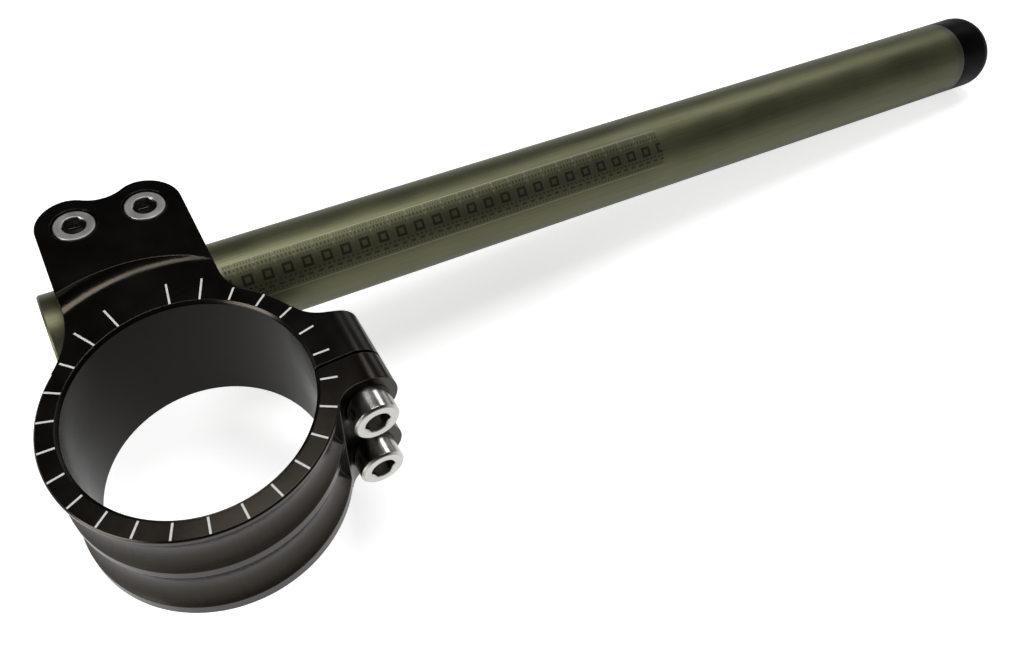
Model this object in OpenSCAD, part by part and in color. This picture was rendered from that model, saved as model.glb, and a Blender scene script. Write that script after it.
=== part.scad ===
// Clip-on handlebar: a one-piece machined clamp for a fork tube, the bar tube
// that it carries beside the fork, and the screws that pinch both.
// The origin is on the fork axis at the middle of the clamp's height, +Z runs
// up the fork and +X points to the side that the rider's grip is on.

/* [Fork clamp ring] */
// Diameter of the fork tube that the ring grips
fork_d = 50; // [48:0.5:54]
// Thickness of the ring outside the bore
ring_wall = 4.6; // [4:0.1:7]
// Height of the clamp along the fork
clamp_h = 32.5; // [30:0.5:36]
// Edge break at both ends of the fork bore
bore_chamfer = 0.7; // [0.2:0.1:1]
// Height of the thin rim above the upper groove
rim_h = 1.2; // [0.8:0.1:2]
// Height of the flange below the lower groove
flange_h = 3.5; // [2:0.1:5]
// Edge break round the top of the rim
rim_break = 0.3; // [0.1:0.1:0.6]
// Edge break round the bottom of the flange
flange_break = 0.8; // [0.2:0.1:1.2]
// Depth of the two turned grooves
groove_depth = 2.5; // [1:0.1:2.8]
// Width of the land left on the rib between the grooves
rib_land = 0.8; // [0.2:0.1:1.5]
// How much lower the rib stands than the rim
rib_inset = 0.5; // [0.2:0.1:0.8]

/* [Pinch lugs] */
// Distance from the fork axis to the pinch screws, along X
pinch_x = 32; // [31:0.5:36]
// Distance between the two pinch screws
pinch_pitch = 18.2; // [16:0.1:19]
// Radius of the hollow between the two lobes
lug_valley_r = 5; // [4:0.5:8]
// Distance from the fork axis to the middle of the slit
slit_offset = 4.7; // [2:0.1:8]
// Width of the slit that lets the ring close
slit_w = 0.7; // [0.6:0.1:2]
// Thickness of the lug under the screw heads
near_lug_t = 7; // [5:0.1:9]
// Depth of the spot faces that seat the pinch screws' heads
spot_depth = 0.2; // [0.1:0.1:1]
// Thickness of the threaded lug
far_lug_t = 11.7; // [10.5:0.1:15]
// Radius of the blend between the ring and the lug under the heads
near_fillet = 6; // [2:0.5:8]
// Radius of the blend between the ring and the threaded lug
far_fillet = 9; // [4:0.5:12]

/* [Bar socket] */
// Distance between the fork axis and the bar axis
bar_offset = 40; // [39.5:0.5:46]
// Droop of the bar below the clamp's plane, in degrees
droop = 5; // [0:0.5:7.5]
// Width of the socket along the bar
socket_w = 33; // [30:0.5:40]
// Height of the socket's top face above the bar axis
socket_top = 17.7; // [17.7:0.1:20]
// Distance from the bar axis to the bar screws
bar_screw_out = 16; // [15.5:0.1:18]
// Distance between the two bar screws
bar_screw_pitch = 16; // [15:0.5:18]
// Radius of the lobe round each bar screw
tab_lobe_r = 8.1; // [7.6:0.1:8.2]
// Radius of the hollow between the two lobes
tab_valley_r = 8.5; // [6:0.5:12]
// Width of the slit that lets the socket close
bar_slit_w = 2; // [1:0.1:3]
// Radius round the fork axis at which the step to the socket starts
step_r = 36.6; // [33:0.1:38]
// Radius of the hollow at the foot of the step
step_fillet = 4; // [2:0.5:6]
// Radius of the blend between the ring and the socket's inner side
inner_fillet = 24; // [6:1:26]
// Radius of the blend between the ring and the socket's grip side
outer_fillet = 10; // [6:1:26]

/* [Bar] */
// Outer diameter of the bar
bar_d = 22.2; // [22:0.1:22.4]
// Wall thickness of the bar
bar_wall = 3.1; // [2.5:0.1:4]
// Length of the bar without its plug
bar_len = 280; // [240:1:320]
// How far the bar's inner end stands out of the socket
bar_stub = 5.5; // [2:0.1:15]
// Edge break at the bar's ends
bar_chamfer = 0.4; // [0.2:0.1:0.8]

/* [End plug] */
// Length of the plug outside the bar
cap_len = 14; // [9:0.5:20]
// Rounding of the plug's outer edge
cap_round = 5; // [3:0.5:8]
// Length of the stem inside the bar
stem_len = 24; // [15:1:40]
// Wall thickness of the hollow stem
stem_wall = 2; // [1.5:0.1:3]
// Depth of the grip ribs on the stem
stem_rib = 0.5; // [0.3:0.1:0.8]
// Distance between the stem's ribs
stem_rib_pitch = 5; // [4:0.5:8]
// Length of the slope that leads up to each rib
stem_rib_ramp = 3.5; // [2:0.5:3.5]

/* [Screws] */
// Thread diameter of all four screws
screw_d = 6; // [5:0.5:6]
// Diameter of the screw heads
head_d = 10; // [9:0.1:10]
// Height of the screw heads
head_h = 6; // [5:0.1:6]
// Width across the flats of the hexagon socket
hex_af = 5; // [4:0.5:5]
// Depth of the hexagon socket
hex_depth = 3; // [2:0.1:4]
// Edge break round the mouth of the hexagon socket
hex_break = 0.4; // [0.2:0.1:0.6]
// Edge break on the screw heads
head_chamfer = 0.5; // [0.2:0.1:0.8]
// Edge break on the screws' tips
tip_chamfer = 0.6; // [0.3:0.1:1]
// Length of a pinch screw under its head
pinch_screw_len = 18; // [14:1:19]
// Length of a bar screw under its head
bar_screw_len = 24; // [18:1:26]

/* [Fits] */
// Gap all round the bar in its socket
bar_gap = 0.05; // [0:0.01:0.1]
// Gap all round a screw in its clearance hole
hole_gap = 0.2; // [0.1:0.05:0.4]
// Gap all round a screw in its tapped hole
thread_gap = 0.05; // [0.02:0.01:0.1]
// Gap all round a screw head in its counterbore
head_gap = 0.2; // [0.1:0.05:0.5]
// How far the bar screws' heads lie below the socket's top face
head_sink = 0.1; // [0:0.1:1]
// Gap all round the plug's stem in the bar
stem_gap = 0.1; // [0.05:0.05:0.3]

/* [Hidden] */
fork_r = fork_d / 2;
ring_r = fork_r + ring_wall;
half_h = clamp_h / 2;
bar_r = bar_d / 2;
bar_bore_r = bar_r - bar_wall;
socket_half_w = socket_w / 2;
lug_lobe_r = half_h - pinch_pitch / 2;
near_y = -(slit_offset + slit_w / 2 + near_lug_t);
far_y = -slit_offset + slit_w / 2 + far_lug_t;
bar_inner_x = -socket_half_w - bar_stub;
bar_outer_x = bar_inner_x + bar_len;
clearance_d = screw_d + 2 * hole_gap;
tapped_d = screw_d + 2 * thread_gap;
counterbore_d = head_d + 2 * head_gap;
// Overshoot of the cutting shapes past the faces that they cut
over = 1;
// Reach of the cutting shapes that only have to clear the whole clamp
clear = 80;
// Facets on the round surfaces
$fn = 128;

// The clamp's own frame turned to the drooping bar: X along the bar, Z along
// the bar screws, and the origin at the middle of the socket.
module bar_frame() {
    translate([0, bar_offset, 0]) rotate([0, droop, 0]) children();
}

// Sets children on the axis of the pinch screw on one side of the middle, at the
// seat of its head.
module pinch_frame(side) {
    translate([pinch_x, near_y + spot_depth, side * pinch_pitch / 2])
        rotate([90, 0, 0]) children();
}

// Sets children on the axis of one bar screw, at the seat of its head. The
// screws stand square to the sloping top face and meet it at the lobes' centres.
module bar_screw_frame(side) {
    along = (side * bar_screw_pitch / 2 - socket_top * sin(droop)) / cos(droop);
    bar_frame()
        translate([along, bar_screw_out, socket_top - head_sink - head_h]) children();
}

// Outline of two lobes a pitch apart on the Y axis, with a hollow between them
// on the +X side that runs smoothly into both.
module two_lobes(pitch, lobe_r, valley_r) {
    valley_x = sqrt(pow(lobe_r + valley_r, 2) - pow(pitch / 2, 2));
    for (side = [-1, 1])
        translate([0, side * pitch / 2]) circle(r = lobe_r);
    difference() {
        polygon([[0, -pitch / 2], [valley_x, 0], [0, pitch / 2]]);
        translate([valley_x, 0]) circle(r = valley_r);
    }
}

// Section of the ring: a thin rim, two hollow grooves with a rib between them,
// and a flange.
module ring_section() {
    rib_z = (flange_h - rim_h) / 2;
    groove_top = half_h - rim_h;
    groove_bottom = flange_h - half_h;
    chord = (groove_top - groove_bottom - rib_land) / 2;
    groove_r = (pow(chord / 2, 2) + pow(groove_depth, 2)) / (2 * groove_depth);
    difference() {
        polygon([
            [fork_r - over, -half_h],
            [ring_r - flange_break, -half_h],
            [ring_r, flange_break - half_h],
            [ring_r, half_h - rim_break],
            [ring_r - rim_break, half_h],
            [fork_r - over, half_h]
        ]);
        for (side = [-1, 1])
            translate([
                ring_r - groove_depth + groove_r,
                rib_z + side * (rib_land + chord) / 2
            ]) circle(r = groove_r);
        translate([ring_r - rib_inset, rib_z - chord / 2])
            square([rib_inset + over, chord]);
    }
}

module ring() {
    rotate_extrude() ring_section();
}

// Plan of the blend between the ring and a wall at wall_y that faces +Y.
module ring_blend(wall_y, radius) {
    centre = [sqrt(pow(ring_r + radius, 2) - pow(wall_y + radius, 2)), wall_y + radius];
    root = centre * fork_r / (ring_r + radius);
    difference() {
        polygon([root, [root[0], wall_y - over], [centre[0], wall_y - over], centre]);
        translate(centre) circle(r = radius);
    }
}

// Both pinch lugs before the slit parts them: their plan, with the blends into
// the ring, cut to the outline of the two lobes.
module lugs() {
    reach = pinch_x + lug_lobe_r;
    intersection() {
        translate([0, 0, -half_h]) linear_extrude(height = clamp_h) {
            translate([0, near_y]) square([reach + over, far_y - near_y]);
            ring_blend(far_y, far_fillet);
            mirror([0, 1]) ring_blend(-near_y, near_fillet);
        }
        translate([0, reach, 0]) rotate([90, 0, 0]) linear_extrude(height = 2 * reach) {
            translate([pinch_x, 0]) two_lobes(pinch_pitch, lug_lobe_r, lug_valley_r);
            translate([0, -half_h]) square([pinch_x, clamp_h]);
        }
    }
}

// Plan of the bar socket and of its blends into the ring.
module socket_plan() {
    screw_y = bar_offset + bar_screw_out;
    translate([0, screw_y]) rotate([0, 0, 90])
        two_lobes(bar_screw_pitch, tab_lobe_r, tab_valley_r);
    translate([-socket_half_w, 0]) square([socket_w, screw_y]);
    rotate([0, 0, 90]) ring_blend(socket_half_w, inner_fillet);
    mirror([1, 0]) rotate([0, 0, 90]) ring_blend(socket_half_w, outer_fillet);
}

// The socket stands on the clamp's bottom face, and its top face slopes with
// the bar.
module socket() {
    difference() {
        translate([0, 0, -half_h]) linear_extrude(height = clear) socket_plan();
        bar_frame() translate([-clear, -clear, socket_top]) cube([2 * clear, 2 * clear, clear]);
    }
}

// The air above the ring, which ends at the step to the socket's top face.
module step_air() {
    translate([0, 0, half_h]) rotate_extrude() {
        square([step_r, clear]);
        translate([step_r, step_fillet]) circle(r = step_fillet);
        translate([0, step_fillet]) square([step_r + step_fillet, clear]);
    }
}

module fork_bore() {
    translate([0, 0, -half_h - over]) cylinder(r = fork_r, h = clamp_h + 2 * over);
    for (side = [0, 1])
        mirror([0, 0, side]) translate([0, 0, half_h - bore_chamfer])
            cylinder(r1 = fork_r, r2 = fork_r + bore_chamfer + over, h = bore_chamfer + over);
}

module bar_bore() {
    bar_frame() rotate([0, 90, 0])
        cylinder(r = bar_r + bar_gap, h = clear, center = true);
}

module slits() {
    translate([0, -slit_offset - slit_w / 2, -clear / 2]) cube([clear, slit_w, clear]);
    bar_frame() translate([-clear / 2, 0, -bar_slit_w / 2]) cube([clear, clear, bar_slit_w]);
}

module screw_holes() {
    for (side = [-1, 1]) {
        pinch_frame(side) {
            translate([0, 0, -near_lug_t - slit_w / 2])
                cylinder(d = clearance_d, h = near_lug_t + slit_w / 2 + over);
            translate([0, 0, -clear]) cylinder(d = tapped_d, h = clear);
            cylinder(d = counterbore_d, h = head_h + over);
        }
        bar_screw_frame(side) {
            cylinder(d = counterbore_d, h = head_h + head_sink + over);
            translate([0, 0, head_sink + head_h - socket_top])
                cylinder(d = clearance_d, h = socket_top);
            translate([0, 0, -clear]) cylinder(d = tapped_d, h = clear);
        }
    }
}

module clamp() {
    color("#1b1b1c") difference() {
        union() {
            ring();
            lugs();
            socket();
        }
        step_air();
        fork_bore();
        bar_bore();
        slits();
        screw_holes();
    }
}

module bar_tube() {
    color("#6b6c48") bar_frame() rotate([0, 90, 0]) rotate_extrude() polygon([
        [bar_bore_r, bar_inner_x],
        [bar_r - bar_chamfer, bar_inner_x],
        [bar_r, bar_inner_x + bar_chamfer],
        [bar_r, bar_outer_x],
        [bar_bore_r, bar_outer_x]
    ]);
}

// Half section of the end plug: a rounded cap and a hollow ribbed stem.
module plug_section() {
    stem_r = bar_bore_r - stem_gap;
    core_r = stem_r - stem_rib;
    round_at = [bar_r - cap_round, cap_len - cap_round];
    difference() {
        union() {
            difference() {
                square([bar_r, cap_len]);
                translate(round_at) difference() {
                    square(cap_round + over);
                    circle(r = cap_round);
                }
            }
            translate([0, -stem_len]) square([core_r, stem_len + over]);
            for (rib = [stem_rib_pitch : stem_rib_pitch : stem_len - stem_rib_ramp])
                polygon([
                    [core_r - over, -rib - stem_rib_ramp],
                    [stem_r, -rib],
                    [core_r - over, -rib]
                ]);
        }
        translate([0, -stem_len - over]) square([core_r - stem_wall, stem_len + over]);
    }
}

module end_plug() {
    color("#161617") bar_frame() rotate([0, 90, 0])
        translate([0, 0, bar_outer_x]) rotate_extrude() plug_section();
}

// A socket head cap screw with its head's seat at the origin and its head up.
module cap_screw(length) {
    hex_r = hex_af / 2 / cos(30);
    color("#c4c4c0") difference() {
        rotate_extrude() polygon([
            [0, -length],
            [screw_d / 2 - tip_chamfer, -length],
            [screw_d / 2, tip_chamfer - length],
            [screw_d / 2, 0],
            [head_d / 2, 0],
            [head_d / 2, head_h - head_chamfer],
            [head_d / 2 - head_chamfer, head_h],
            [0, head_h]
        ]);
        translate([0, 0, head_h - hex_depth])
            cylinder(r = hex_r, h = hex_depth + over, $fn = 6);
        translate([0, 0, head_h - hex_break])
            cylinder(r1 = hex_r - hex_break, r2 = hex_r + over, h = hex_break + over);
    }
}

clamp();
bar_tube();
end_plug();
pinch_frame(1) cap_screw(pinch_screw_len);  // pinch_screw_upper
pinch_frame(-1) cap_screw(pinch_screw_len);  // pinch_screw_lower
bar_screw_frame(-1) cap_screw(bar_screw_len);  // bar_screw_inner
bar_screw_frame(1) cap_screw(bar_screw_len);  // bar_screw_outer
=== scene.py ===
"""Clip-on handlebar: finishes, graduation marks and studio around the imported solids."""

import math

import bmesh
import bpy
from mathutils import Matrix, Vector


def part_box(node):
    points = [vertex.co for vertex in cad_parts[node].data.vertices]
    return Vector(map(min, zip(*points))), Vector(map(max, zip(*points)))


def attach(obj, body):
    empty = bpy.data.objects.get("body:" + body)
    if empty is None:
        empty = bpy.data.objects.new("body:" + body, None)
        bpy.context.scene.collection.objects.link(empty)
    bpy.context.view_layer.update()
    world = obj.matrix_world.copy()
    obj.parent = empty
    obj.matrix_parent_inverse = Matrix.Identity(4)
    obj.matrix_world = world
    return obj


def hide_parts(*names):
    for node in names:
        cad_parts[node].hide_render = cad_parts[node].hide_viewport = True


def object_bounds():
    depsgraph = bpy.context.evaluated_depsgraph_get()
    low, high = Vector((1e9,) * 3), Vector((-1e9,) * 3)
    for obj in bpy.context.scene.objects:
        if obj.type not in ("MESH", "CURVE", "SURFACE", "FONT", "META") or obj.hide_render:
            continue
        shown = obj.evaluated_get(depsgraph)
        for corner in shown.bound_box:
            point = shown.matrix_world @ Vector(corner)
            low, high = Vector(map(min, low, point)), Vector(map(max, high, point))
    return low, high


bl_info = {
    "name": "Clip-on handlebar",
    "version": (1, 0, 0),
    "blender": (4, 5, 0),
    "location": "3D View > Sidebar > Clip-on bar",
    "description": "Dresses the solids of a clip-on handlebar and sets up its studio",
    "category": "Object",
}

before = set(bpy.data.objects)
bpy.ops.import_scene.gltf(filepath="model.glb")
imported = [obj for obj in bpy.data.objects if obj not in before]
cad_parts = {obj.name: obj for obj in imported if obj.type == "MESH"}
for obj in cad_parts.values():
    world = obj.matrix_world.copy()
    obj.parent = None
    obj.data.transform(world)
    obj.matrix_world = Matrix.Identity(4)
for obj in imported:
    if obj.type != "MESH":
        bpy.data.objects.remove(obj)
CAD_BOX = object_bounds()

MM = 0.001
BODY = "root"

# Shape of the solids that the finishes follow, in metres and degrees
CLAMP_H = 32.5 * MM
BOTTOM_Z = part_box("clamp")[0].z
RING_TOP_Z = BOTTOM_Z + CLAMP_H
BORE_R = 25.0 * MM
STEP_R = 36.6 * MM
BAR_OFFSET = 40.0 * MM
BAR_R = 11.1 * MM
BAR_END = 257.7 * MM
DROOP = 5.0
PINCH_X = 32.0 * MM
PINCH_PITCH = 18.2 * MM
PINCH_SEAT_Y = -11.85 * MM
SOCKET_TOP = 17.7 * MM
SCREW_PITCH = 16.0 * MM
SCREW_OUT = 16.0 * MM
HEAD_H = 6.0 * MM
HEAD_SINK = 0.1 * MM
HEX_R = 3.1 * MM

# The tab's lobes: their radius in the solid, and the radius that reaches the socket's sides
LOBE_R = 8.1 * MM
FULL_LOBE_R = 8.5 * MM
# Turn round a lobe, from the socket's side, at which its wall starts to narrow and at which it
# meets the hollow between the two
LOBE_FADE = (math.radians(90), math.radians(118.8))
# How far a point may lie from a lobe's wall, and from a flat face, and still count as on it
ON_WALL = 0.02 * MM
ON_FACE = 0.01 * MM

# Merging of the clamp's loose triangles, and of the points that the move brings together
MERGE_TRIANGLES = 0.001 * MM
MERGE_MOVED = 0.01 * MM
TOO_SHORT = 0.002 * MM
SHARP_ANGLE = math.radians(25)

# A graduation mark: its thickness, and how far it stands proud of the ring
MARK_THICKNESS = 0.06 * MM
MARK_PROUD = 0.02 * MM

# The etched scale, across and along the bar
SCALE_HALF = 5.0 * MM
SCALE_FADE = 0.3 * MM
SCALE_STEP = 4.9 * MM
EDGE_LINE = 0.25 * MM
STROKE_SOFT = 0.12 * MM
COARSE_WIDTH = 0.35 * MM
COARSE_AT, COARSE_LENGTH = 3.3 * MM, 3.2 * MM
SQUARE_HALF, SQUARE_LINE = 1.0 * MM, 0.66 * MM
GROUND_FADE, GROUND_SHARE = 0.2 * MM, 0.18
DASH_SOFT, DASH_SHARE = 0.1 * MM, 0.8
# Each row of dashes: its place across, its height, its pitch, and the part of the pitch that is dark
DASH_ROWS = (
    (4.2 * MM, 0.7 * MM, 0.7 * MM, 0.4),
    (3.1 * MM, 0.8 * MM, 0.98 * MM, 0.45),
    (2.0 * MM, 0.6 * MM, 0.7 * MM, 0.35),
    (-2.1 * MM, 0.5 * MM, 1.225 * MM, 0.5),
    (-3.1 * MM, 0.6 * MM, 2.45 * MM, 0.55),
    (-4.1 * MM, 0.5 * MM, 0.98 * MM, 0.4),
)

# The paler band at the bar's far end, and the length over which it comes in
END_BAND = 1.9 * MM
END_BAND_FADE = 0.3 * MM

# Ranges of one noise value, and of the mean of two, that a finish spreads out
NOISE_RANGE = (0.3, 0.7)
MEAN_RANGE = (0.35, 0.65)

# The floor: its middle, and its colour where light falls on it
FLOOR_X = 0.1
FLOOR_COLOUR = (0.82, 0.82, 0.82, 1.0)
# Distances from the origin, and the floor's brightness at them, as the camera and as mirrors see it
SHOWN_AT, SHOWN = (0.4, 1.1), (0.7, 1.0)
GLOW_AT, GLOW = (0.06, 0.28), (0.5, 0.1)
# Heights of a direction, and the room's light from them; then the height where mirrors stop seeing white
ROOM_AT, ROOM = (0.0, 0.3), (0.5, 0.02)
MIRRORED_TO = 0.15
WHITE = (1.0, 1.0, 1.0, 1.0)

# Each lamp's place, the place that it points at, its width and height, and the setting with its power
LAMPS = {
    "top_lamp": ((0.22, 0.17, 0.9), (0.2, 0.1, 0.0), 0.6, 0.4, "top_power"),
    "end_lamp": ((0.9, 0.42, 0.7), (0.25, 0.04, 0.0), 0.5, 0.3, "end_power"),
    "side_lamp": ((-0.8, -0.2, 0.3), (0.0, 0.0, 0.0), 0.5, 0.5, "side_power"),
}

# The photo's frame in pixels, and the camera that was fitted to it
IMAGE_W, IMAGE_H = 1024, 646
FOCAL_PX = 980.96
CENTRE_PX = (440.49, 276.87)
SENSOR = 36.0
CLIP = (0.01, 50.0)
CAMERA_AT = Vector((-0.00325, -0.11797, 0.17687))
CAMERA_RIGHT = Vector((0.8851, -0.4651, -0.0175))
CAMERA_DOWN = Vector((-0.3639, -0.6680, -0.6491))
CAMERA_FORWARD = Vector((0.2902, 0.5809, -0.7605))


# Small helpers for node trees


def put(tree, kind, inputs=None, **settings):
    """Adds a node, sets its options, and fills its inputs with values or links."""
    made = tree.nodes.new(kind)
    for name, value in settings.items():
        setattr(made, name, value)
    for name, value in (inputs or {}).items():
        if isinstance(value, bpy.types.NodeSocket):
            tree.links.new(value, made.inputs[name])
        else:
            made.inputs[name].default_value = value
    return made


def calc(tree, operation, *terms):
    """The output of a Math node over values and links."""
    return put(tree, "ShaderNodeMath", dict(enumerate(terms)), operation=operation).outputs[0]


def times(tree, first, second):
    """The product of two values or links."""
    return calc(tree, "MULTIPLY", first, second)


def mean(tree, first, second):
    """The mean of two values or links."""
    return times(tree, calc(tree, "ADD", first, second), 0.5)


def distance(tree, x, y):
    """The distance from an axis, from the two places across it."""
    return calc(tree, "SQRT", calc(tree, "ADD", times(tree, x, x), times(tree, y, y)))


def split(tree, vector):
    """The X, Y and Z outputs of a vector."""
    return put(tree, "ShaderNodeSeparateXYZ", {0: vector}).outputs


def join(tree, x, y, z):
    """A vector made from three values or links."""
    return put(tree, "ShaderNodeCombineXYZ", {0: x, 1: y, 2: z}).outputs[0]


def noise(tree, vector, scale, detail):
    """A noise value over a vector."""
    made = put(tree, "ShaderNodeTexNoise", {"Vector": vector, "Scale": scale, "Detail": detail})
    return made.outputs["Fac"]


def spread(tree, value, low, high, to_low=0.0, to_high=1.0):
    """A value mapped from one range to another, and held inside it."""
    return put(
        tree, "ShaderNodeMapRange",
        {"Value": value, "From Min": low, "From Max": high, "To Min": to_low, "To Max": to_high},
    ).outputs[0]


def vary(tree, cloud, low, high):
    """A value from low to high that follows a noise value."""
    return spread(tree, cloud, *NOISE_RANGE, low, high)


def blend(tree, factor, low, high):
    """A colour between two colours or links, by a linked factor."""
    made = put(tree, "ShaderNodeMix", data_type="RGBA")
    sockets = {socket.identifier: socket for socket in made.inputs}
    tree.links.new(factor, sockets["Factor_Float"])
    for name, value in (("A_Color", low), ("B_Color", high)):
        if isinstance(value, bpy.types.NodeSocket):
            tree.links.new(value, sockets[name])
        else:
            sockets[name].default_value = (*value, 1.0)
    return {socket.identifier: socket for socket in made.outputs}["Result_Color"]


def mottle(tree, cloud, reach, colour, low, high):
    """A colour that goes from low times to high times itself as a noise value crosses a range."""
    return blend(tree, spread(tree, cloud, *reach), [low * c for c in colour], [high * c for c in colour])


def band(tree, value, centre, width, soft):
    """1 within a band of a value, and 0 outside it, with a soft edge."""
    off = calc(tree, "ABSOLUTE", calc(tree, "SUBTRACT", value, centre))
    return spread(tree, off, (width + soft) / 2, (width - soft) / 2)


def repeat(tree, value, pitch):
    """Distance of a value from the nearest multiple of a pitch."""
    return calc(tree, "PINGPONG", value, pitch / 2)


def rays(tree):
    """1 where the camera looks straight at a surface, and 1 where a mirror or glass does."""
    path = put(tree, "ShaderNodeLightPath").outputs
    mirrored = calc(tree, "MAXIMUM", path["Is Glossy Ray"], path["Is Transmission Ray"])
    return path["Is Camera Ray"], mirrored


def start(name):
    """A new material with its node tree, shader and Object coordinates."""
    material = bpy.data.materials.new(name)
    material.use_nodes = True
    tree = material.node_tree
    tree.nodes.clear()
    shader = put(tree, "ShaderNodeBsdfPrincipled")
    out = put(tree, "ShaderNodeOutputMaterial")
    tree.links.new(shader.outputs[0], out.inputs["Surface"])
    place = put(tree, "ShaderNodeTexCoord").outputs["Object"]
    return material, tree, shader, place


def finish_with(tree, shader, colour, roughness, height=None, depth=0.0, round_edge=0.0):
    """Links a finish to its shader: colour, roughness, and a relief of a depth over rounded edges."""
    tree.links.new(colour, shader.inputs["Base Color"])
    tree.links.new(roughness, shader.inputs["Roughness"])
    if height is None:
        return
    bump = put(tree, "ShaderNodeBump", {"Strength": 1.0, "Distance": depth, "Height": height})
    if round_edge:
        rounded = put(tree, "ShaderNodeBevel", {"Radius": round_edge}, samples=6).outputs[0]
        tree.links.new(rounded, bump.inputs["Normal"])
    tree.links.new(bump.outputs[0], shader.inputs["Normal"])


# Frames of the solids


def bar_frame():
    """The bar's own frame: X along the bar, Z up the bar screws, origin at the middle of the socket."""
    return Matrix.Translation((0, BAR_OFFSET, 0)) @ Matrix.Rotation(math.radians(DROOP), 4, "Y")


def pinch_frame(side):
    """The frame of a pinch screw, with its head's seat at the origin and its head up."""
    at = Matrix.Translation((PINCH_X, PINCH_SEAT_Y, side * PINCH_PITCH / 2))
    return at @ Matrix.Rotation(math.radians(90), 4, "X")


def bar_screw_frame(side):
    """The frame of a bar screw, with its head's seat at the origin and its head up."""
    slope = math.radians(DROOP)
    along = (side * SCREW_PITCH / 2 - SOCKET_TOP * math.sin(slope)) / math.cos(slope)
    return bar_frame() @ Matrix.Translation((along, SCREW_OUT, SOCKET_TOP - HEAD_SINK - HEAD_H))


SCREWS = {
    "pinch_screw_upper": pinch_frame(1),
    "pinch_screw_lower": pinch_frame(-1),
    "bar_screw_inner": bar_screw_frame(-1),
    "bar_screw_outer": bar_screw_frame(1),
}


def in_frame(tree, place, matrix):
    """Object coordinates seen from a frame."""
    away = matrix.inverted()
    return put(
        tree, "ShaderNodeMapping",
        {"Vector": place, "Rotation": away.to_euler(), "Location": away.to_translation()},
        vector_type="POINT",
    ).outputs[0]


# Sizes and colours that a user would change


class ClampFinish(bpy.types.PropertyGroup):
    """Black anodised finish of the clamp."""

    colour: bpy.props.FloatVectorProperty(
        name="Colour", description="Colour of the anodised coat", subtype="COLOR",
        size=3, min=0, max=1, default=(0.0017, 0.0015, 0.0014),
    )
    sheen: bpy.props.FloatVectorProperty(
        name="Reflection tint", description="Tint of the coat's reflections", subtype="COLOR",
        size=3, min=0, max=1, default=(1.0, 0.86, 0.68),
    )
    level: bpy.props.FloatProperty(
        name="Reflection level", description="Strength of the coat's reflections", min=0, max=1, default=0.42,
    )
    roughness: bpy.props.FloatProperty(
        name="Roughness", description="Roughness of the machined faces", min=0, max=1, default=0.21,
    )
    turning_pitch: bpy.props.FloatProperty(
        name="Turning pitch", description="Distance between the tool marks", subtype="DISTANCE",
        unit="LENGTH", default=0.22 * MM, min=0.05 * MM, max=1 * MM, precision=5,
    )
    turning_depth: bpy.props.FloatProperty(
        name="Turning depth", description="Depth of the tool marks", subtype="DISTANCE",
        unit="LENGTH", default=0.012 * MM, min=0, max=0.1 * MM, precision=6,
    )


class Graduation(bpy.types.PropertyGroup):
    """White graduation marks round the ring's top face."""

    count: bpy.props.IntProperty(
        name="Count", description="How many marks there are", default=25, min=3, max=72,
    )
    first: bpy.props.FloatProperty(
        name="First mark", description="Direction of the first mark, from +X towards +Y", subtype="ANGLE",
        unit="ROTATION", default=math.radians(80.7),
    )
    step: bpy.props.FloatProperty(
        name="Step", description="Angle between two marks", subtype="ANGLE",
        unit="ROTATION", default=math.radians(13.95),
    )
    start_r: bpy.props.FloatProperty(
        name="Inner radius", description="Radius at which the marks start", subtype="DISTANCE",
        unit="LENGTH", default=25.8 * MM, precision=5,
    )
    end_r: bpy.props.FloatProperty(
        name="Outer radius", description="Radius at which the marks end", subtype="DISTANCE",
        unit="LENGTH", default=29.25 * MM, precision=5,
    )
    long_end_r: bpy.props.FloatProperty(
        name="Long outer radius", description="Radius at which the long marks beside the socket end",
        subtype="DISTANCE", unit="LENGTH", default=31.6 * MM, precision=5,
    )
    width: bpy.props.FloatProperty(
        name="Width", description="Width of a mark", subtype="DISTANCE",
        unit="LENGTH", default=0.44 * MM, precision=5,
    )
    long_marks: bpy.props.IntProperty(
        name="Long marks", description="Long marks at each end of the row", default=2, min=0, max=6,
    )


class BarFinish(bpy.types.PropertyGroup):
    """Olive hard-anodised finish of the bar, with its etched scale."""

    colour: bpy.props.FloatVectorProperty(
        name="Colour", description="Colour of the coat", subtype="COLOR",
        size=3, min=0, max=1, default=(0.138, 0.14, 0.078),
    )
    roughness: bpy.props.FloatProperty(
        name="Roughness", description="Roughness of the coat", min=0, max=1, default=0.41,
    )
    scale_start: bpy.props.FloatProperty(
        name="Scale start", description="Where the etched scale starts along the bar", subtype="DISTANCE",
        unit="LENGTH", default=17.0 * MM, precision=5,
    )
    scale_end: bpy.props.FloatProperty(
        name="Scale end", description="Where the etched scale ends along the bar", subtype="DISTANCE",
        unit="LENGTH", default=140.0 * MM, precision=5,
    )
    scale_turn: bpy.props.FloatProperty(
        name="Scale direction", description="Direction that the scale faces, up from the side of the fork",
        subtype="ANGLE", unit="ROTATION", default=math.radians(48.0),
    )


class PlugFinish(bpy.types.PropertyGroup):
    """Black moulded finish of the end plug."""

    colour: bpy.props.FloatVectorProperty(
        name="Colour", description="Colour of the moulding", subtype="COLOR",
        size=3, min=0, max=1, default=(0.0018, 0.0018, 0.0018),
    )
    roughness: bpy.props.FloatProperty(
        name="Roughness", description="Roughness of the moulding", min=0, max=1, default=0.36,
    )


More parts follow.
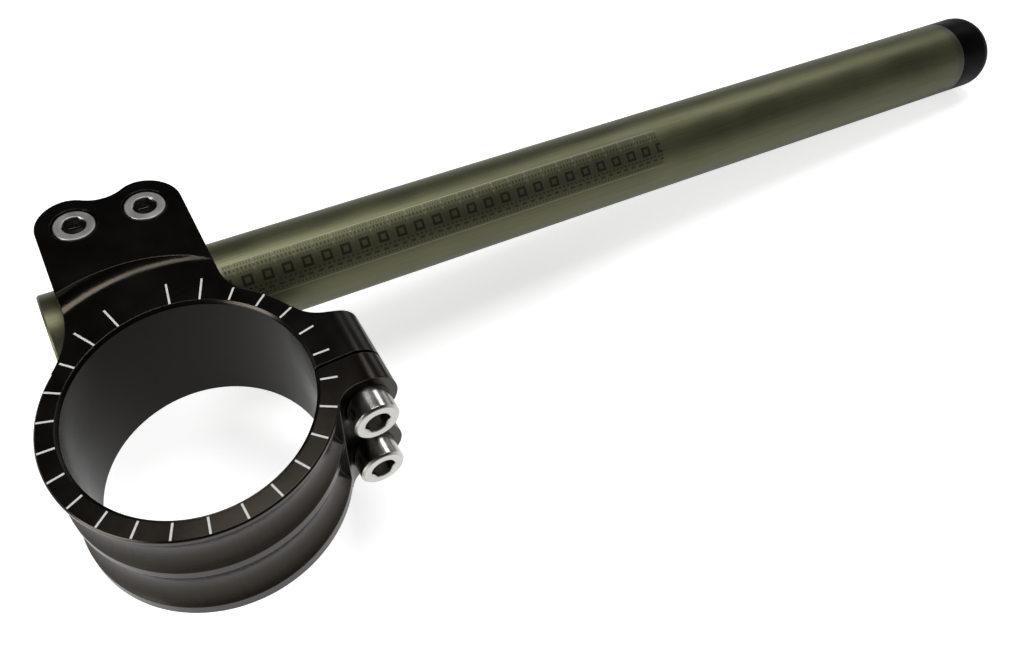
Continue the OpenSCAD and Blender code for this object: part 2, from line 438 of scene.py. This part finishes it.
class ScrewFinish(bpy.types.PropertyGroup):
    """Bright stainless finish of the cap screws."""

    colour: bpy.props.FloatVectorProperty(
        name="Colour", description="Colour of the bare steel", subtype="COLOR",
        size=3, min=0, max=1, default=(0.66, 0.65, 0.61),
    )
    roughness: bpy.props.FloatProperty(
        name="Roughness", description="Roughness of the turned sides", min=0, max=1, default=0.2,
    )
    face_roughness: bpy.props.FloatProperty(
        name="Face roughness", description="Roughness of the heads' faces", min=0, max=1, default=0.4,
    )
    thread_pitch: bpy.props.FloatProperty(
        name="Thread pitch", description="Pitch of the thread", subtype="DISTANCE",
        unit="LENGTH", default=1.0 * MM, precision=5,
    )


class Studio(bpy.types.PropertyGroup):
    """Floor and lamps."""

    floor_gap: bpy.props.FloatProperty(
        name="Floor gap", description="Distance between the floor and the lowest point", subtype="DISTANCE",
        unit="LENGTH", default=0.5 * MM, precision=5,
    )
    floor_size: bpy.props.FloatProperty(
        name="Floor size", description="Width of the floor", subtype="DISTANCE", unit="LENGTH", default=6.0,
    )
    top_power: bpy.props.FloatProperty(
        name="Top lamp", description="Power of the lamp overhead", subtype="POWER",
        unit="POWER", default=4.2,
    )
    end_power: bpy.props.FloatProperty(
        name="End lamp", description="Power of the lamp over the bar's far end", subtype="POWER",
        unit="POWER", default=1.6,
    )
    side_power: bpy.props.FloatProperty(
        name="Side lamp", description="Power of the lamp at the left", subtype="POWER",
        unit="POWER", default=6.0,
    )


# Materials


def clamp_material(values):
    """Black anodised aluminium: turned rings round the fork axis, milled faces on the socket."""
    material, tree, shader, place = start("clamp_black")
    milled_stretch, milled_fade, bore_level = 0.04, 1.5 * MM, 0.28 * values.level
    x, y, z = split(tree, place)
    radius = distance(tree, x, y)
    marks_per_metre = 1 / values.turning_pitch
    turned = noise(tree, join(tree, radius, 0.0, z), marks_per_metre, 1.0)
    milled = noise(tree, join(tree, times(tree, x, milled_stretch), y, z), marks_per_metre, 1.0)
    on_socket = spread(tree, radius, STEP_R, STEP_R + milled_fade)
    marks = calc(tree, "ADD", turned, times(tree, on_socket, calc(tree, "SUBTRACT", milled, turned)))
    cloud = noise(tree, place, 90.0, 3.0)
    in_bore = spread(tree, radius, BORE_R + 0.3 * MM, BORE_R + 0.1 * MM)
    level = spread(tree, in_bore, 0.0, 1.0, values.level, bore_level)
    tree.links.new(level, shader.inputs["Specular IOR Level"])
    shader.inputs["Specular Tint"].default_value = (*values.sheen, 1.0)
    finish_with(
        tree, shader,
        colour=mottle(tree, mean(tree, cloud, marks), NOISE_RANGE, values.colour, 0.7, 1.5),
        roughness=vary(tree, cloud, values.roughness - 0.04, values.roughness + 0.06),
        height=marks, depth=values.turning_depth, round_edge=0.25 * MM,
    )
    return material


def mark_material():
    """White filled graduation mark."""
    material, tree, shader, place = start("mark_white")
    dull_white, bright_white = (0.72, 0.72, 0.7), (0.9, 0.9, 0.88)
    shader.inputs["Specular IOR Level"].default_value = 0.3
    grain = noise(tree, place, 2500.0, 2.0)
    finish_with(
        tree, shader,
        colour=blend(tree, spread(tree, grain, *NOISE_RANGE), dull_white, bright_white),
        roughness=vary(tree, grain, 0.45, 0.65),
    )
    return material


def scale_marks(tree, along, across, start_at, end_at):
    """Light and dark parts of the plain etched scale: lines and strokes, then squares and dashes."""
    inside = times(
        tree,
        spread(tree, along, start_at, start_at + SCALE_FADE),
        spread(tree, along, end_at, end_at - SCALE_FADE),
    )
    off_middle = calc(tree, "ABSOLUTE", across)
    in_step = repeat(tree, along, SCALE_STEP)

    edges = band(tree, off_middle, SCALE_HALF, EDGE_LINE, STROKE_SOFT)
    coarse = times(
        tree,
        band(tree, in_step, 0.0, COARSE_WIDTH, STROKE_SOFT),
        band(tree, across, COARSE_AT, COARSE_LENGTH, STROKE_SOFT),
    )
    light = calc(tree, "MAXIMUM", edges, coarse)

    off_square = calc(tree, "ABSOLUTE", calc(tree, "SUBTRACT", in_step, SCALE_STEP / 2))
    reach = calc(tree, "MAXIMUM", off_square, off_middle)
    squares = band(tree, reach, SQUARE_HALF, SQUARE_LINE, STROKE_SOFT)
    ground = spread(tree, off_middle, SCALE_HALF, SCALE_HALF - GROUND_FADE, 0.0, GROUND_SHARE)
    dark = calc(tree, "MAXIMUM", squares, ground)
    for centre, height, pitch, share in DASH_ROWS:
        dash = band(tree, repeat(tree, along, pitch), 0.0, share * pitch, DASH_SOFT)
        row = times(tree, dash, band(tree, across, centre, height, STROKE_SOFT))
        dark = calc(tree, "MAXIMUM", dark, times(tree, row, DASH_SHARE))
    return times(tree, inside, light), times(tree, inside, dark)


def bar_material(values):
    """Olive hard anodising with fine lines drawn along the tube, an etched scale and a paler end."""
    material, tree, shader, place = start("bar_olive")
    drawn_stretch, end_grey, bare_metal = 0.02, (0.09, 0.09, 0.08), (0.4, 0.4, 0.3)
    shader.inputs["Metallic"].default_value = 0.78
    own = in_frame(tree, place, bar_frame())
    along, out, up = split(tree, own)
    turn = calc(tree, "ARCTAN2", up, times(tree, out, -1.0))
    across = times(tree, calc(tree, "SUBTRACT", turn, values.scale_turn), BAR_R)
    light, dark = scale_marks(tree, along, across, values.scale_start, values.scale_end)
    drawn = noise(tree, join(tree, times(tree, along, drawn_stretch), out, up), 3500.0, 2.0)
    cloud = noise(tree, own, 60.0, 4.0)
    coat = mottle(tree, mean(tree, cloud, drawn), MEAN_RANGE, values.colour, 0.82, 1.12)
    at_end = spread(tree, along, BAR_END - END_BAND - END_BAND_FADE, BAR_END - END_BAND)
    coat = blend(tree, times(tree, at_end, 0.6), coat, end_grey)
    coat = blend(tree, times(tree, light, 0.5), coat, bare_metal)
    coat = blend(tree, times(tree, dark, 0.95), coat, [0.16 * c for c in values.colour])
    etched = times(tree, calc(tree, "MAXIMUM", light, dark), 0.15)
    rough = vary(tree, cloud, values.roughness - 0.03, values.roughness + 0.05)
    finish_with(
        tree, shader, colour=coat, roughness=calc(tree, "ADD", rough, etched),
        height=drawn, depth=0.004 * MM, round_edge=0.2 * MM,
    )
    return material


def plug_material(values):
    """Black moulded plastic with a faint grain."""
    material, tree, shader, place = start("plug_black")
    shader.inputs["Specular IOR Level"].default_value = 0.06
    grain = noise(tree, place, 1800.0, 3.0)
    cloud = noise(tree, place, 120.0, 2.0)
    finish_with(
        tree, shader,
        colour=mottle(tree, cloud, NOISE_RANGE, values.colour, 0.7, 1.5),
        roughness=vary(tree, cloud, values.roughness - 0.05, values.roughness + 0.08),
        height=grain, depth=0.02 * MM,
    )
    return material


def screw_material(name, matrix, values):
    """Turned stainless steel, with rings on the head's face, painted shade inside the hex socket and a thread
    on the shank.
    """
    material, tree, shader, place = start(name)
    relief, ring_share, thread_share = 0.6 * MM, 0.01, 0.6
    # Painted shade: the colour that the inside of the hex socket is darkened towards, and how far
    hex_painted_shade, hex_shade_share = (0.1, 0.09, 0.075), 0.6
    shader.inputs["Metallic"].default_value = 1.0
    x, y, z = split(tree, in_frame(tree, place, matrix))
    radius = distance(tree, x, y)
    rings = noise(tree, join(tree, radius, 0.0, times(tree, z, 0.2)), 9000.0, 1.0)
    blot = noise(tree, place, 300.0, 1.0)

    turn = calc(tree, "DIVIDE", calc(tree, "ARCTAN2", y, x), 2 * math.pi)
    helix = calc(tree, "SUBTRACT", calc(tree, "DIVIDE", z, values.thread_pitch), turn)
    thread = times(tree, calc(tree, "PINGPONG", helix, 0.5), 2.0)
    on_shank = spread(tree, z, -0.05 * MM, -0.15 * MM)
    height = calc(
        tree, "ADD",
        times(tree, rings, ring_share),
        times(tree, times(tree, thread, on_shank), thread_share),
    )

    # Mask of the hex socket's inside, where shade is painted into the steel's colour
    under_face = spread(tree, z, HEAD_H - 0.1 * MM, HEAD_H - 0.5 * MM)
    in_hex = times(tree, spread(tree, radius, HEX_R, HEX_R - 0.1 * MM), under_face)
    in_hex = times(tree, in_hex, spread(tree, z, 0.0, 0.1 * MM))
    steel = mottle(tree, mean(tree, blot, rings), MEAN_RANGE, values.colour, 0.88, 1.05)
    rough = spread(tree, z, HEAD_H - 0.2 * MM, HEAD_H - 0.1 * MM, values.roughness, values.face_roughness)
    finish_with(
        tree, shader,
        # The steel's colour, darkened inside the hex socket by painted shade
        colour=blend(tree, times(tree, in_hex, hex_shade_share), steel, hex_painted_shade),
        roughness=calc(tree, "ADD", rough, vary(tree, blot, -0.02, 0.05)),
        height=height, depth=relief, round_edge=0.2 * MM,
    )
    return material


def floor_material():
    """White floor that glows for the camera and for mirrors, and keeps the shadow."""
    material, tree, shader, place = start("floor_white")
    shader.inputs["Base Color"].default_value = FLOOR_COLOUR
    shader.inputs["Roughness"].default_value = 0.8
    shader.inputs["Specular IOR Level"].default_value = 0.0
    shader.inputs["Emission Color"].default_value = WHITE
    by_camera, by_mirror = rays(tree)
    away = put(tree, "ShaderNodeVectorMath", {0: place}, operation="LENGTH").outputs["Value"]
    shown = times(tree, by_camera, spread(tree, away, *SHOWN_AT, *SHOWN))
    glow = times(tree, by_mirror, spread(tree, away, *GLOW_AT, *GLOW))
    tree.links.new(calc(tree, "MAXIMUM", shown, glow), shader.inputs["Emission Strength"])
    return material


# Pieces


def wear(node_name, material):
    """Gives a CAD node one material all over."""
    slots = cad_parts[node_name].data.materials
    slots.clear()
    slots.append(material)


def make(context, name, mesh, material):
    """A new object at the origin, from a bmesh that this uses up, with one material."""
    data = bpy.data.meshes.new(name)
    mesh.to_mesh(data)
    mesh.free()
    data.materials.append(material)
    made = bpy.data.objects.new(name, data)
    context.scene.collection.objects.link(made)
    return made


def widen_lobes(mesh):
    """Moves the walls of the tab's two lobes out to the socket's sides, less and less towards the
    hollow between them, and says how many points it moved."""
    moved = 0
    for vert in mesh.verts:
        side = 1 if vert.co.x > 0 else -1
        across = vert.co.x - side * SCREW_PITCH / 2
        out = vert.co.y - BAR_OFFSET - SCREW_OUT
        if out < -ON_FACE or abs(math.hypot(across, out) - LOBE_R) > ON_WALL:
            continue
        turn = math.atan2(out, side * across)
        share = min(1.0, max(0.0, (LOBE_FADE[1] - turn) / (LOBE_FADE[1] - LOBE_FADE[0])))
        growth = share * (FULL_LOBE_R / LOBE_R - 1)
        vert.co.x += across * growth
        vert.co.y += out * growth
        if vert.co.z > BOTTOM_Z + ON_FACE:
            vert.co.z -= across * growth * math.tan(math.radians(DROOP))
        moved += 1
    return moved


def add_lamp(context, name, at, towards, width, height, power):
    """A rectangular soft lamp that points at a place."""
    lamp = bpy.data.lights.new(name, "AREA")
    lamp.shape = "RECTANGLE"
    lamp.size, lamp.size_y = width, height
    lamp.energy = power
    made = bpy.data.objects.new(name, lamp)
    made.location = at
    made.rotation_euler = (Vector(towards) - Vector(at)).to_track_quat("-Z", "Y").to_euler()
    context.scene.collection.objects.link(made)


# Operators


class CLIPON_OT_clamp(bpy.types.Operator):
    """Give the clamp its black anodised finish, with the tab's lobes as wide as the socket"""

    bl_idname = "clipon.clamp"
    bl_label = "Finish clamp"

    def execute(self, context):
        mesh = bmesh.new()
        mesh.from_mesh(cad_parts["clamp"].data)
        bmesh.ops.remove_doubles(mesh, verts=mesh.verts, dist=MERGE_TRIANGLES)
        if not widen_lobes(mesh):
            raise ValueError("the clamp has no lobe walls at the stated radius")
        bmesh.ops.remove_doubles(mesh, verts=mesh.verts, dist=MERGE_MOVED)
        bmesh.ops.dissolve_degenerate(mesh, edges=mesh.edges, dist=TOO_SHORT)
        for face in mesh.faces:
            face.smooth = True
        for edge in mesh.edges:
            edge.smooth = edge.is_manifold and edge.calc_face_angle() < SHARP_ANGLE
        form = make(context, "clamp_form", mesh, clamp_material(context.scene.clipon_clamp))
        form.modifiers.new("even_shading", "WEIGHTED_NORMAL").keep_sharp = True
        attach(form, BODY)
        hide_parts("clamp")
        return {"FINISHED"}


class CLIPON_OT_graduation(bpy.types.Operator):
    """Lay the white graduation marks on the ring's top face"""

    bl_idname = "clipon.graduation"
    bl_label = "Add graduation marks"

    def execute(self, context):
        values = context.scene.clipon_graduation
        if values.end_r <= values.start_r:
            raise ValueError("the marks' outer radius has to be larger than their inner radius")
        mesh = bmesh.new()
        for index in range(values.count):
            is_long = min(index, values.count - 1 - index) < values.long_marks
            end_r = values.long_end_r if is_long else values.end_r
            middle = (values.start_r + end_r) / 2
            bmesh.ops.create_cube(
                mesh, size=1.0,
                matrix=Matrix.Rotation(values.first - index * values.step, 4, "Z")
                @ Matrix.Translation((middle, 0, RING_TOP_Z + MARK_PROUD - MARK_THICKNESS / 2))
                @ Matrix.Diagonal((end_r - values.start_r, values.width, MARK_THICKNESS, 1.0)),
            )
        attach(make(context, "graduation_marks", mesh, mark_material()), BODY)
        return {"FINISHED"}


class CLIPON_OT_bar(bpy.types.Operator):
    """Give the bar its olive finish and etched scale"""

    bl_idname = "clipon.bar"
    bl_label = "Finish bar"

    def execute(self, context):
        values = context.scene.clipon_bar
        if values.scale_end <= values.scale_start:
            raise ValueError("the etched scale has to end further along the bar than it starts")
        wear("bar_tube", bar_material(values))
        return {"FINISHED"}


class CLIPON_OT_plug(bpy.types.Operator):
    """Give the end plug its moulded finish"""

    bl_idname = "clipon.plug"
    bl_label = "Finish end plug"

    def execute(self, context):
        wear("end_plug", plug_material(context.scene.clipon_plug))
        return {"FINISHED"}


class CLIPON_OT_screws(bpy.types.Operator):
    """Give the four cap screws their stainless finish"""

    bl_idname = "clipon.screws"
    bl_label = "Finish screws"

    def execute(self, context):
        for name, matrix in SCREWS.items():
            wear(name, screw_material(name + "_steel", matrix, context.scene.clipon_screws))
        return {"FINISHED"}


class CLIPON_OT_stage(bpy.types.Operator):
    """Set up the floor, the lamps, the world and the camera"""

    bl_idname = "clipon.stage"
    bl_label = "Set up studio"

    def execute(self, context):
        values = context.scene.clipon_studio
        self.add_floor(context, values)
        for name, (at, towards, width, height, power) in LAMPS.items():
            add_lamp(context, name, at, towards, width, height, getattr(values, power))
        self.set_world(context)
        self.add_camera(context)
        context.scene.view_settings.view_transform = "Standard"
        return {"FINISHED"}

    def add_floor(self, context, values):
        """Lays the floor just under the object's lowest point."""
        mesh = bmesh.new()
        bmesh.ops.create_grid(
            mesh, x_segments=1, y_segments=1, size=values.floor_size / 2,
            matrix=Matrix.Translation((FLOOR_X, 0, CAD_BOX[0].z - values.floor_gap)),
        )
        make(context, "floor", mesh, floor_material())

    def set_world(self, context):
        """Makes a world that is white to the camera, and lights softly from low down."""
        world = bpy.data.worlds.new("studio")
        world.use_nodes = True
        tree = world.node_tree
        tree.nodes.clear()
        by_camera, by_mirror = rays(tree)
        up = split(tree, put(tree, "ShaderNodeTexCoord").outputs["Generated"])[2]
        room = spread(tree, up, *ROOM_AT, *ROOM)
        low_white = times(tree, by_mirror, spread(tree, up, 0.0, MIRRORED_TO, 1.0, 0.0))
        level = calc(tree, "MAXIMUM", by_camera, calc(tree, "MAXIMUM", low_white, room))
        back = put(tree, "ShaderNodeBackground", {"Color": WHITE, "Strength": level})
        out = put(tree, "ShaderNodeOutputWorld")
        tree.links.new(back.outputs[0], out.inputs["Surface"])
        context.scene.world = world

    def add_camera(self, context):
        """Puts the fitted camera in place, with the photo's focal length and shift."""
        data = bpy.data.cameras.new("camera")
        data.sensor_width = SENSOR
        data.lens = FOCAL_PX * SENSOR / IMAGE_W
        data.shift_x = (IMAGE_W / 2 - CENTRE_PX[0]) / IMAGE_W
        data.shift_y = (CENTRE_PX[1] - IMAGE_H / 2) / IMAGE_W
        data.clip_start, data.clip_end = CLIP
        camera = bpy.data.objects.new("camera", data)
        axes = Matrix((CAMERA_RIGHT, -CAMERA_DOWN, -CAMERA_FORWARD)).transposed()
        camera.matrix_world = Matrix.Translation(CAMERA_AT) @ axes.to_4x4()
        context.scene.collection.objects.link(camera)
        context.scene.camera = camera


# Panel, registration and the run itself

OPERATORS = (
    CLIPON_OT_clamp, CLIPON_OT_graduation, CLIPON_OT_bar, CLIPON_OT_plug, CLIPON_OT_screws, CLIPON_OT_stage,
)
# The property groups, in the order of the operators that they belong to
GROUPS = {
    "clipon_clamp": ClampFinish,
    "clipon_graduation": Graduation,
    "clipon_bar": BarFinish,
    "clipon_plug": PlugFinish,
    "clipon_screws": ScrewFinish,
    "clipon_studio": Studio,
}


class CLIPON_PT_panel(bpy.types.Panel):
    """Sizes, colours and steps of the clip-on handlebar"""

    bl_idname = "CLIPON_PT_panel"
    bl_label = "Clip-on handlebar"
    bl_space_type = "VIEW_3D"
    bl_region_type = "UI"
    bl_category = "Clip-on bar"

    def draw(self, context):
        for (group_name, group), operator in zip(GROUPS.items(), OPERATORS):
            box = self.layout.box()
            box.label(text=operator.bl_label)
            for name in group.__annotations__:
                box.prop(getattr(context.scene, group_name), name)
            box.operator(operator.bl_idname)


def register():
    for made in (*GROUPS.values(), *OPERATORS, CLIPON_PT_panel):
        bpy.utils.register_class(made)
    for name, group in GROUPS.items():
        setattr(bpy.types.Scene, name, bpy.props.PointerProperty(type=group))


def unregister():
    for name in GROUPS:
        delattr(bpy.types.Scene, name)
    for made in (CLIPON_PT_panel, *reversed(OPERATORS), *reversed(list(GROUPS.values()))):
        bpy.utils.unregister_class(made)


def main():
    """Builds everything."""
    register()
    bpy.ops.clipon.clamp()
    bpy.ops.clipon.graduation()
    bpy.ops.clipon.bar()
    bpy.ops.clipon.plug()
    bpy.ops.clipon.screws()
    bpy.ops.clipon.stage()


if __name__ == "__main__":
    main()
